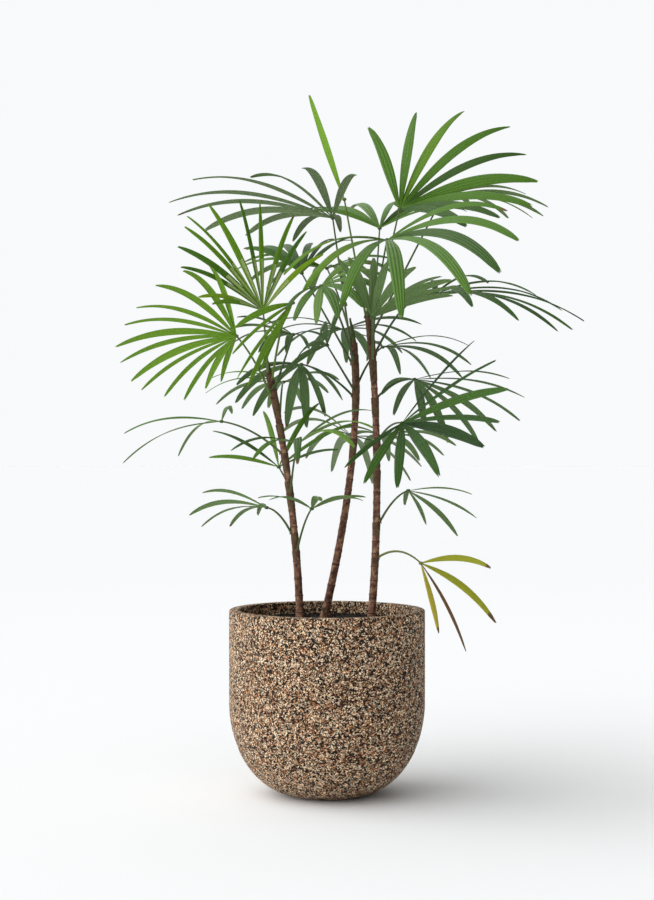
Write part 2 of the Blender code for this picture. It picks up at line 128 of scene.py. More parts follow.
def leafGroup():
    # fine veins along each blade, and a roughness that wanders a little
    v = veinLook
    group, inlet, outlet = newGroup("leafVeins", [
        ("Veins", "INPUT", "NodeSocketFloat", v["veins"]),
        ("Least Roughness", "INPUT", "NodeSocketFloat", v["glossy"][1]),
        ("Most Roughness", "INPUT", "NodeSocketFloat", v["glossy"][2]),
        ("Height", "OUTPUT", "NodeSocketFloat", None),
        ("Roughness", "OUTPUT", "NodeSocketFloat", None)])
    place = addNode(group, "ShaderNodeUVMap", uv_map="blade")
    split = addNode(group, "ShaderNodeSeparateXYZ", {0: place.outputs["UV"]})
    inTurns = {0: split.outputs["X"], 1: 6.2832}  # one full turn a vein
    turns = addNode(group, "ShaderNodeMath", inTurns, operation="MULTIPLY")
    counted = {0: turns.outputs[0], 1: inlet.outputs["Veins"]}
    count = addNode(group, "ShaderNodeMath", counted, operation="MULTIPLY")
    wave = addNode(group, "ShaderNodeMath", {0: count.outputs[0]}, operation="SINE")
    where = addNode(group, "ShaderNodeTexCoord")
    cloud = addNode(group, "ShaderNodeTexNoise", {
        "Vector": where.outputs["Object"], "Scale": v["cloudScale"], "Detail": v["cloudDetail"]})
    spread = addNode(group, "ShaderNodeMapRange", {
        "Value": cloud.outputs["Fac"], "From Min": v["cloudFrom"], "From Max": v["cloudTo"],
        "To Min": inlet.outputs["Least Roughness"], "To Max": inlet.outputs["Most Roughness"]})
    group.links.new(wave.outputs[0], outlet.inputs["Height"])
    group.links.new(spread.outputs["Result"], outlet.inputs["Roughness"])
    return group


surfaceGrain = grainGroup()
leafVeins = leafGroup()


def grainyMaterial(name, stops, roughness, patchScale, grainScale, bumpDepth):
    material, tree, shader = newMaterial(name, stops[0][1], roughness)
    shader.inputs["Specular IOR Level"].default_value = grainLook["specular"]
    scales = {"Patch Scale": patchScale, "Grain Scale": grainScale}
    grain = addNode(tree, "ShaderNodeGroup", scales, node_tree=surfaceGrain)
    ramp = addNode(tree, "ShaderNodeValToRGB", {"Fac": grain.outputs["Patch"]})
    colourStops(ramp, stops)
    bump = addNode(tree, "ShaderNodeBump", {
        "Height": grain.outputs["Grain"], "Strength": grainLook["bump"], "Distance": bumpDepth})
    tree.links.new(ramp.outputs["Color"], shader.inputs["Base Color"])
    tree.links.new(bump.outputs["Normal"], shader.inputs["Normal"])
    return material


def leafMaterial(name, colour, finish):
    v = veinLook
    specular, least, most = v[finish]
    material, tree, shader = newMaterial(name, colour, v["roughness"])
    shader.inputs["Specular IOR Level"].default_value = specular
    reach = {"Least Roughness": least, "Most Roughness": most}
    veins = addNode(tree, "ShaderNodeGroup", reach, node_tree=leafVeins)
    bump = addNode(tree, "ShaderNodeBump", {
        "Height": veins.outputs["Height"], "Strength": v["bump"], "Distance": v["bumpDepth"]})
    tree.links.new(bump.outputs["Normal"], shader.inputs["Normal"])
    tree.links.new(veins.outputs["Roughness"], shader.inputs["Roughness"])
    return material


class Shape:
    # the vertices, faces, material slots and blade places of one piece
    def __init__(self):
        self.vertices, self.faces, self.slots, self.places = [], [], [], []

    def point(self, where, place=(0.0, 0.0)):
        self.vertices.append(tuple(where))
        self.places.append(place)
        return len(self.vertices) - 1

    def face(self, corners, slot=0):
        self.faces.append(tuple(corners))
        self.slots.append(slot)


def addPiece(name, shape, materials, replaced, sharpAngle=40.0):
    mesh = bpy.data.meshes.new(name)
    mesh.from_pydata(shape.vertices, [], shape.faces)
    for material in materials:
        mesh.materials.append(material)
    mesh.polygons.foreach_set("material_index", shape.slots)
    layer = mesh.uv_layers.new(name="blade")
    for loop in mesh.loops:
        layer.data[loop.index].uv = shape.places[loop.vertex_index]
    mesh.shade_smooth()
    mesh.set_sharp_from_angle(angle=math.radians(sharpAngle))
    mesh.update()
    piece = bpy.data.objects.new(name, mesh)
    bpy.context.scene.collection.objects.link(piece)
    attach(piece, "root")
    if replaced:
        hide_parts(*replaced)
    return piece


def ringOfFaces(shape, first, second, count, slot=0):
    for side in range(count):
        beside = (side + 1) % count
        shape.face((first + side, first + beside, second + beside, second + side), slot)


roughenScale = 420.0  # noise cells to the metre on tubes


def alongAt(path, index):
    before, after = path[max(index - 1, 0)][0], path[min(index + 1, len(path) - 1)][0]
    return (after - before).normalized()


def addTube(shape, path, sides, slots=None, roughen=0.0):
    # path holds (point, radius); both ends are closed
    across = None
    rings = []
    for index, (point, radius) in enumerate(path):
        along = alongAt(path, index)
        across = along.orthogonal() if across is None else across - along * across.dot(along)
        across.normalize()
        beside = along.cross(across)
        rings.append(len(shape.vertices))
        for side in range(sides):
            turn = 2.0 * math.pi * side / sides
            offset = across * math.cos(turn) + beside * math.sin(turn)
            rough = roughen * noise.noise((point + offset * radius) * roughenScale)
            shape.point(point + offset * (radius + rough), (side / sides, index / len(path)))
    for index in range(len(path) - 1):
        ringOfFaces(shape, rings[index], rings[index + 1], sides, slots[index] if slots else 0)
    shape.face(tuple(range(rings[0], rings[0] + sides))[::-1], slots[0] if slots else 0)
    shape.face(tuple(range(rings[-1], rings[-1] + sides)), slots[-1] if slots else 0)


planter = {
    "radius": 0.170, "height": 0.319, "wall": 0.018, "floor": 0.020, "foot": 0.052,
    "belly": 0.160, "rounding": 0.003, "segments": 360, "rowHeight": 0.0030,
    "insideSteps": 20, "bellySteps": 76, "rimSteps": 4, "edge": 0.001, "sharpAngle": 60.0,
    "relief": 0.0006, "reliefScale": 330.0, "chipLong": 185.0, "chipShort": 450.0,
    "gapFrom": 0.05, "gapWidth": 0.17, "roughness": 0.72, "specular": 0.25,
    "tilt": 0.75, "tiltFrom": (0.45, 0.55), "layScale": 260.0, "layDetail": 1.0,
    "warpScale": 90.0, "warpDetail": 2.0, "warpReach": 0.006, "bump": 0.8, "bumpDepth": 0.0008,
    "colours": [(0.00, screenColour(0.16, 0.10, 0.07)), (0.31, screenColour(0.66, 0.43, 0.28)),
                (0.46, screenColour(0.88, 0.67, 0.49)), (0.62, screenColour(1.00, 0.90, 0.76))],
    "gap": screenColour(0.08, 0.04, 0.02),
}


def chipMaterial():
    # flattened cells lying three ways, each a chip of one colour, with dark gaps between
    p = planter
    material, tree, shader = newMaterial("planterChips", p["colours"][1][1], p["roughness"])
    shader.inputs["Specular IOR Level"].default_value = p["specular"]
    place = addNode(tree, "ShaderNodeTexCoord").outputs["Object"]
    warp = addNode(tree, "ShaderNodeTexNoise", {
        "Vector": place, "Scale": p["warpScale"], "Detail": p["warpDetail"]})
    reach = {0: warp.outputs["Color"], 1: (p["warpReach"],) * 3}
    bend = addNode(tree, "ShaderNodeVectorMath", reach, operation="MULTIPLY")
    moved = addNode(tree, "ShaderNodeVectorMath", {0: place, 1: bend.outputs[0]}, operation="ADD")
    lay = addNode(tree, "ShaderNodeTexNoise", {
        "Vector": place, "Scale": p["layScale"], "Detail": p["layDetail"]})
    size = (p["chipLong"], p["chipLong"], p["chipShort"])
    colour = distance = None
    for tilt, least in zip((0.0, p["tilt"], -p["tilt"]), (None, *p["tiltFrom"])):
        turned = {"Vector": moved.outputs[0], "Rotation": (tilt, tilt, 0.0)}
        lean = addNode(tree, "ShaderNodeVectorRotate", turned, rotation_type="EULER_XYZ")
        stretched = {0: lean.outputs[0], 1: size}
        scaled = addNode(tree, "ShaderNodeVectorMath", stretched, operation="MULTIPLY")
        cells = {"Vector": scaled.outputs[0], "Scale": 1.0}
        cell = addNode(tree, "ShaderNodeTexVoronoi", cells)
        edge = addNode(tree, "ShaderNodeTexVoronoi", cells, feature="DISTANCE_TO_EDGE")
        if least is None:
            colour, distance = cell.outputs["Color"], edge.outputs["Distance"]
            continue
        above = {0: lay.outputs["Fac"], 1: least}
        pick = addNode(tree, "ShaderNodeMath", above, operation="GREATER_THAN")
        chosen = addNode(tree, "ShaderNodeMix", {
            0: pick.outputs[0], 6: colour, 7: cell.outputs["Color"]}, data_type="RGBA")
        near = addNode(tree, "ShaderNodeMix", {
            0: pick.outputs[0], 2: distance, 3: edge.outputs["Distance"]}, data_type="FLOAT")
        colour, distance = chosen.outputs[2], near.outputs[0]
    split = addNode(tree, "ShaderNodeSeparateColor", {0: colour})
    ramp = addNode(tree, "ShaderNodeValToRGB", {"Fac": split.outputs["Red"]})
    colourStops(ramp, p["colours"], "CONSTANT")
    body = addNode(tree, "ShaderNodeMapRange", {
        "Value": distance, "From Min": p["gapFrom"], "From Max": p["gapWidth"]})
    paint = addNode(tree, "ShaderNodeMix", {
        0: body.outputs["Result"], 6: (*p["gap"], 1.0), 7: ramp.outputs["Color"]}, data_type="RGBA")
    raised = {0: split.outputs["Green"], 1: body.outputs["Result"]}
    height = addNode(tree, "ShaderNodeMath", raised, operation="MULTIPLY")
    bump = addNode(tree, "ShaderNodeBump", {
        "Height": height.outputs[0], "Strength": p["bump"], "Distance": p["bumpDepth"]})
    tree.links.new(paint.outputs[2], shader.inputs["Base Color"])
    tree.links.new(bump.outputs["Normal"], shader.inputs["Normal"])
    return material


def bellyCurve(topRadius, footRadius, top, bottom, steps):
    points = []
    for share in shares(steps):
        turn = math.radians(90.0) * share
        radius = footRadius + (topRadius - footRadius) * math.cos(turn)
        points.append((radius, top - (top - bottom) * math.sin(turn)))
    return points


def straightRun(start, end, spacing):
    steps = max(1, round(math.dist(start, end) / spacing))
    return [tuple(a + (b - a) * step / steps for a, b in zip(start, end)) for step in range(steps)]


def roundedRim(p):
    inner, outer, top, r = p["radius"] - p["wall"], p["radius"], p["height"], p["rounding"]
    turns = [math.radians(90.0) * share for share in shares(p["rimSteps"])]
    points = [(inner + r - r * math.cos(turn), top - r + r * math.sin(turn)) for turn in turns]
    points += straightRun((inner + r, top), (outer - r, top), p["rowHeight"])[1:]
    points += [(outer - r + r * math.sin(turn), top - r + r * math.cos(turn)) for turn in turns]
    return points


def turnProfile(shape, profile, segments, move):
    # profile runs from one point on the axis to the other
    first = shape.point((0.0, 0.0, profile[0][1]))
    rings = []
    for radius, height in profile[1:-1]:
        rings.append(len(shape.vertices))
        for side in range(segments):
            turn = 2.0 * math.pi * side / segments
            where = Vector((radius * math.cos(turn), radius * math.sin(turn), height))
            shape.point(move(where, radius))
    last = shape.point((0.0, 0.0, profile[-1][1]))
    for a, b in zip(rings, rings[1:]):
        ringOfFaces(shape, b, a, segments)
    for side in range(segments):
        beside = (side + 1) % segments
        shape.face((first, rings[0] + side, rings[0] + beside))
        shape.face((last, rings[-1] + beside, rings[-1] + side))


def buildPlanter():
    p = planter
    inner = p["radius"] - p["wall"]
    inside = bellyCurve(inner, p["foot"], p["belly"], p["floor"], p["insideSteps"])[::-1]
    wallIn = straightRun((inner, p["belly"]), (inner, p["height"] - p["rounding"]), p["rowHeight"])[1:]
    rimEdge, bellyEdge = (p["radius"], p["height"] - p["rounding"]), (p["radius"], p["belly"])
    wallOut = straightRun(rimEdge, bellyEdge, p["rowHeight"])[1:]
    belly = bellyCurve(p["radius"], p["foot"], p["belly"], 0.0, p["bellySteps"])
    profile = [(0.0, p["floor"])] + inside + wallIn + roundedRim(p) + wallOut + belly + [(0.0, 0.0)]

    def move(where, radius):
        # the flat foot and the flat inside stay as they are
        edge = p["edge"]
        if where.z < edge or radius < inner - edge and where.z < p["floor"] + edge:
            return where
        dent = p["relief"] * (0.5 + 0.5 * noise.noise(where * p["reliefScale"]))
        inward = 1.0 if radius > inner + edge else -1.0
        return where - Vector((where.x, where.y, 0.0)).normalized() * dent * inward

    shape = Shape()
    turnProfile(shape, profile, p["segments"], move)
    addPiece("planterShell", shape, [chipMaterial()], ["pot"], p["sharpAngle"])
    print("planter built:", len(shape.faces), "faces")


soilBed = {
    "level": 0.300, "rings": 62, "segments": 200, "sideSteps": 16, "hollow": 0.0045,
    "clear": 0.0009, "edge": 0.006, "surface": 0.001, "lumps": ((0.6, 55.0), (0.4, 240.0)),
    "crumbs": 900, "crumbSize": (0.0012, 0.0036), "crumbWide": (0.5, 0.9), "sharpAngle": 60.0,
    "crumbTall": (0.35, 0.7), "crumbReach": (0.75, 1.1), "lift": 0.2, "paleShare": 0.12, "seed": 21,
    # these soil colours sit darker than the soil itself, as painted shade for the planter's shadowed
    # inside, on the bed and the crumbs alike
    "shades": ((0.003, 0.0025, 0.002), (0.011, 0.008, 0.006), (0.060, 0.042, 0.028)),
    "shadedDirtPlaces": (0.30, 0.52, 0.74), "crumbPlaces": (0.3, 0.7),
    # roughness, patch scale, grain scale and bump depth
    "dirtGrain": (0.95, 240.0, 900.0, 0.0010), "crumbGrain": (0.95, 400.0, 1500.0, 0.0004),
    "paleGrain": (0.90, 400.0, 1500.0, 0.0004),
}


def soilHeight(x, y):
    where = Vector((x, y, 0.0))
    lumps = sum(weight * noise.noise(where * scale) for weight, scale in soilBed["lumps"])
    return soilBed["level"] - soilBed["hollow"] * (0.5 + 0.5 * lumps)


def buildSoil():
    s = soilBed
    radius = planter["radius"] - planter["wall"] - s["clear"]
    floor = planter["floor"] + s["clear"]
    side = bellyCurve(radius, planter["foot"] - s["clear"], planter["belly"], floor, s["sideSteps"])
    top = [(radius * share, s["level"]) for share in shares(s["rings"])]

    def move(where, reach):
        if where.z > s["level"] - s["surface"]:
            where.z = soilHeight(where.x, where.y)
        return where

    shape = Shape()
    profile = [(0.0, floor)] + side[::-1] + top[::-1]
    turnProfile(shape, profile, s["segments"], move)
    # the bed's dark colour is partly the soil's own and partly painted shade
    shadedDirt = grainyMaterial("soilDirtShaded", list(zip(s["shadedDirtPlaces"], s["shades"])), *s["dirtGrain"])
    addPiece("soilBed", shape, [shadedDirt], ["soil"], s["sharpAngle"])
    chance = random.Random(s["seed"])
    crumbs = Shape()
    for _ in range(s["crumbs"]):
        reach = (radius - s["edge"]) * math.sqrt(chance.random())
        turn = chance.uniform(0.0, 2.0 * math.pi)
        size = chance.uniform(*s["crumbSize"])
        x, y = reach * math.cos(turn), reach * math.sin(turn)
        middle = Vector((x, y, soilHeight(x, y) + s["lift"] * size))
        tilt = Euler([chance.uniform(*anyTurn) for _ in range(3)]).to_matrix()
        shade = 1 if chance.random() < s["paleShare"] else 0
        stretch = Vector((1.0, chance.uniform(*s["crumbWide"]), chance.uniform(*s["crumbTall"])))
        corners = []
        for axis in ((1, 0, 0), (0, 1, 0), (-1, 0, 0), (0, -1, 0), (0, 0, 1), (0, 0, -1)):
            reachOut = Vector(axis) * size * chance.uniform(*s["crumbReach"])
            corners.append(crumbs.point(middle + tilt @ Vector(a * b for a, b in zip(reachOut, stretch))))
        for step in range(4):
            a, b = corners[step], corners[(step + 1) % 4]
            crumbs.face((a, b, corners[4]), shade)
            crumbs.face((b, a, corners[5]), shade)
    # the crumbs take the same darkened soil colours, so they carry the painted shade too
    brownStops, paleStops = (list(zip(s["crumbPlaces"], s["shades"][i:i + 2])) for i in (0, 1))
    brown = grainyMaterial("soilCrumbs", brownStops, *s["crumbGrain"])
    light = grainyMaterial("soilChips", paleStops, *s["paleGrain"])
    addPiece("soilCrumbs", crumbs, [brown, light], [])
    print("soil built:", s["crumbs"], "crumbs")


# in these looks a grain is roughness, patch scale, grain scale and bump depth
caneLook = {
    "footRadius": 0.0072, "topRadius": 0.0054, "flareRadius": 0.0095, "flareHeight": 0.014,
    "flarePower": 1.6, "sink": 0.006, "inset": 0.0003, "steps": 260, "sides": 24,
    "guardSteps": 10, "halvings": 20, "relief": 0.00035, "sharpAngle": 50.0, "seed": 5,
    "firstRing": 0.012, "ringSpacing": 0.027, "ringSpread": (0.75, 1.3), "ringCrowding": 0.35,
    "ringSwell": 0.0006, "ringReach": 0.0028, "ringPaint": 0.0011,
    "bark": [(0.34, (0.045, 0.022, 0.016)), (0.46, (0.130, 0.056, 0.036)),
             (0.56, (0.225, 0.108, 0.066)), (0.68, (0.330, 0.230, 0.130))],
    "barkGrain": (0.70, 130.0, 800.0, 0.0008),
    "ring": [(0.35, (0.050, 0.026, 0.018)), (0.65, (0.120, 0.062, 0.040))],
    "ringGrain": (0.85, 200.0, 1200.0, 0.0005),
}
sheathLook = {
    "length": 0.034, "steps": 8, "sides": 16, "caneShare": 0.9, "out": 0.0005, "relief": 0.0005,
    "flare": 0.0011, "flareSpread": (0.7, 1.1),
    "coneBase": 0.0046, "coneTip": 0.0022, "coneReach": 0.55, "coneSteps": 6, "coneSides": 10,
    "coneRelief": 0.0003,
    "colours": [(0.30, (0.038, 0.022, 0.014)), (0.50, (0.110, 0.058, 0.034)),
                (0.74, (0.120, 0.105, 0.042))],
    "grain": (0.85, 120.0, 1500.0, 0.0006),
}
shootLook = {
    "length": 0.045, "tip": 0.0012, "taper": 0.8, "steps": 10, "sides": 14, "aimFrom": 0.96,
    "sink": 0.006, "out": 0.0004, "sway": 0.0015, "swayTurns": (5.0, 4.0), "relief": 0.0004,
    "colours": [(0.36, (0.050, 0.045, 0.016)), (0.60, (0.060, 0.110, 0.022))],
    "grain": (0.55, 160.0, 1200.0, 0.0003),
}
stubLook = {
    "foot": (0.003, 0.020), "sink": 0.004, "height": 0.013, "radius": 0.0055,
    "narrowing": 0.0011, "steps": 8, "sides": 18, "relief": 0.0008,
    # each claw's way round, length and lean
    "claws": ((0.6, 0.031, 0.30), (2.5, 0.024, 0.60), (4.4, 0.019, 0.50)),
    "clawOut": 0.0028, "clawRadius": 0.0026, "clawTaper": 0.75, "clawSteps": 6, "clawSides": 9,
    "clawRelief": 0.0006,
}
soilLevel = soilBed["level"]
gap = 0.0003  # between each cane and the soil, as in the solids
Cane = namedtuple("Cane", "foot knee tip")
canes = {
    "cane_left": Cane((-0.047, 0.010), (-0.054, 0.012, 0.515), (-0.101, 0.010, 0.731)),
    "cane_middle": Cane((-0.005, 0.040), (0.067, 0.036, 0.610), (0.046, 0.040, 0.788)),
    "cane_right": Cane((0.076, -0.020), (0.098, -0.018, 0.565), (0.072, -0.020, 0.826)),
}


def canePoint(cane, share):
    foot = Vector((*cane.foot, soilLevel + gap))
    knee = Vector(cane.knee)
    return foot.lerp(knee, share).lerp(knee.lerp(Vector(cane.tip), share), share)


def caneRadius(share):
    return caneLook["footRadius"] + (caneLook["topRadius"] - caneLook["footRadius"]) * share


def caneGuardPath(cane):
    # the plain cane that the fronds are tested against
    foot = canePoint(cane, 0.0)
    first = caneLook["flareHeight"] / (cane.tip[2] - soilLevel)
    above = foot + Vector((0.0, 0.0, caneLook["flareHeight"]))
    path = [(foot, caneLook["flareRadius"]), (above, caneLook["footRadius"])]
    for step in range(1, caneLook["guardSteps"] + 1):
        share = first + (1.0 - first) * step / caneLook["guardSteps"]
        path.append((canePoint(cane, share), caneRadius(share)))
    return path


def caneAtHeight(cane, height):
    low, high = 0.0, 1.0
    for _ in range(caneLook["halvings"]):
        middle = (low + high) / 2.0
        if canePoint(cane, middle).z < height:
            low = middle
        else:
            high = middle
    return canePoint(cane, low)


def buildCanes(stalks):
    c = caneLook
    bark = grainyMaterial("caneBark", c["bark"], *c["barkGrain"])
    ring = grainyMaterial("caneRing", c["ring"], *c["ringGrain"])
    chance = random.Random(c["seed"])
    for name, cane in canes.items():
        length = cane.tip[2] - soilLevel
        scars = []
        height = c["firstRing"]
        while height < length:
            scars.append(height)
            crowding = 1.0 - c["ringCrowding"] * height / length
            height += c["ringSpacing"] * chance.uniform(*c["ringSpread"]) * crowding
        path, slots = [], []
        for share in shares(c["steps"]):
            rise = share * length
            flare = max(0.0, 1.0 - rise / c["flareHeight"]) ** c["flarePower"]
            near = min(abs(rise - scar) for scar in scars)
            swell = c["ringSwell"] * max(0.0, 1.0 - near / c["ringReach"])
            radius = caneRadius(share) - c["inset"] + swell
            radius += (c["flareRadius"] - c["footRadius"]) * flare
            path.append((canePoint(cane, share), radius))
            slots.append(1 if near < c["ringPaint"] else 0)
        path[0] = (path[0][0] - Vector((0.0, 0.0, c["sink"])), path[0][1])
        shape = Shape()
        addTube(shape, path, c["sides"], slots, c["relief"])
        addPiece("fine_" + name, shape, [bark, ring], [name], c["sharpAngle"])
    buildSheaths(stalks, chance)
    buildShoots()
    buildStub(ring)
    print("canes built:", len(canes), "canes,", len(stalks), "sheaths")


def buildSheaths(stalks, chance):
    # a wrap on the cane below each stalk and a cone round the stalk's foot
    k = sheathLook
    wraps = Shape()
    for name, stalk in stalks.items():
        start, after = stalk[0][0], stalk[1][0]
        path = []
        for share in shares(k["steps"]):
            middle = caneAtHeight(canes[fronds[name].cane], start.z - k["length"] * (1.0 - share))
            flare = k["flare"] * share * chance.uniform(*k["flareSpread"])
            path.append((middle, caneRadius(k["caneShare"]) + k["out"] + flare))
        addTube(wraps, path, k["sides"], None, k["relief"])
        cone = []
        for share in shares(k["coneSteps"]):
            radius = k["coneBase"] + (k["coneTip"] - k["coneBase"]) * share
            cone.append((start.lerp(after, k["coneReach"] * share), radius))
        addTube(wraps, cone, k["coneSides"], None, k["coneRelief"])
    sheath = grainyMaterial("caneSheath", k["colours"], *k["grain"])
    addPiece("stalkSheaths", wraps, [sheath], [], caneLook["sharpAngle"])


def buildShoots():
    # the rolled young sheaths that carry on from each cane's tip
    k = shootLook
    wide = caneLook["topRadius"]
    shoots = Shape()
    for cane in canes.values():
        tip = canePoint(cane, 1.0)
        along = (tip - canePoint(cane, k["aimFrom"])).normalized()
        path = []
        for share in shares(k["steps"]):
            first, second = (turns * share for turns in k["swayTurns"])
            sway = Vector((math.sin(first), math.cos(second) - 1.0, 0.0)) * k["sway"]
            radius = wide + k["out"] + (k["tip"] - wide) * share ** k["taper"]
            path.append((tip + along * (k["length"] * share - k["sink"]) + sway * share, radius))
        addTube(shoots, path, k["sides"], None, k["relief"])
    green = grainyMaterial("youngSheath", k["colours"], *k["grain"])
    addPiece("youngShoots", shoots, [green], [], caneLook["sharpAngle"])


def buildStub(ring):
    k = stubLook
    stub = Shape()
    foot = Vector((*k["foot"], soilLevel - k["sink"]))
    path = []
    for share in shares(k["steps"]):
        rise = Vector((0.0, 0.0, k["height"] * share))
        path.append((foot + rise, k["radius"] - k["narrowing"] * share))
    addTube(stub, path, k["sides"], None, k["relief"])
    for turn, reach, lean in k["claws"]:
        out = Vector((math.cos(turn), math.sin(turn), 0.0))
        way = (out * lean + Vector((0.0, 0.0, 1.0))).normalized()
        claw = []
        for share in shares(k["clawSteps"]):
            radius = k["clawRadius"] * (1.0 - k["clawTaper"] * share)
            claw.append((foot + out * k["clawOut"] + way * reach * share, radius))
        addTube(stub, claw, k["clawSides"], None, k["clawRelief"])
    addPiece("fineStub", stub, [ring], ["old_stub"], caneLook["sharpAngle"])


# the same seeded rule as the solids; finer blades are laid on it further down
rule = {
    "stalkBase": 0.0021, "stalkHub": 0.0014, "stalkSteps": 4, "hub": 0.0048, "root": 0.0020,
    "steps": 20, "stations": (0, 5, 11, 17, 20), "thickness": 0.0105, "cup": 8.0,
    "outerLift": 16.0, "outerShort": 0.3, "outerNarrow": 0.2, "angle": 2.5, "length": 0.05,
    "droop": 0.08, "twist": 22.0, "margin": 0.0012, "seed": 7, "ridge": 0.7,
    "rootWidth": 0.16, "widestAt": 0.5, "taper": 0.6, "taperFrom": 0.55, "taperPower": 1.6,
    "tipFrom": 0.93, "droopPower": 1.5, "clearStep": 0.007, "clearTries": 12,
    "stalkSides": 6, "caneSides": 8,
}
dodges = (
    (0, 0.0, 1.0), (4, 0.0, 1.0), (-4, 0.0, 1.0), (0, 0.15, 1.0), (0, -0.15, 1.0),
    (8, 0.0, 1.0), (-8, 0.0, 1.0), (0, 0.35, 1.0), (0, -0.35, 1.0), (7, 0.25, 0.95),
    (-7, 0.25, 0.95), (7, -0.25, 0.95), (-7, -0.25, 0.95), (12, 0.0, 0.95),
    (-12, 0.0, 0.95), (0, 0.6, 0.9), (0, -0.6, 0.9), (0, 0.0, 0.8), (10, 0.4, 0.8),
    (-10, 0.4, 0.8), (0, 0.0, 0.65),
)
Frond = namedtuple("Frond", "cane start hub facing spread blades length width droop arch tint")
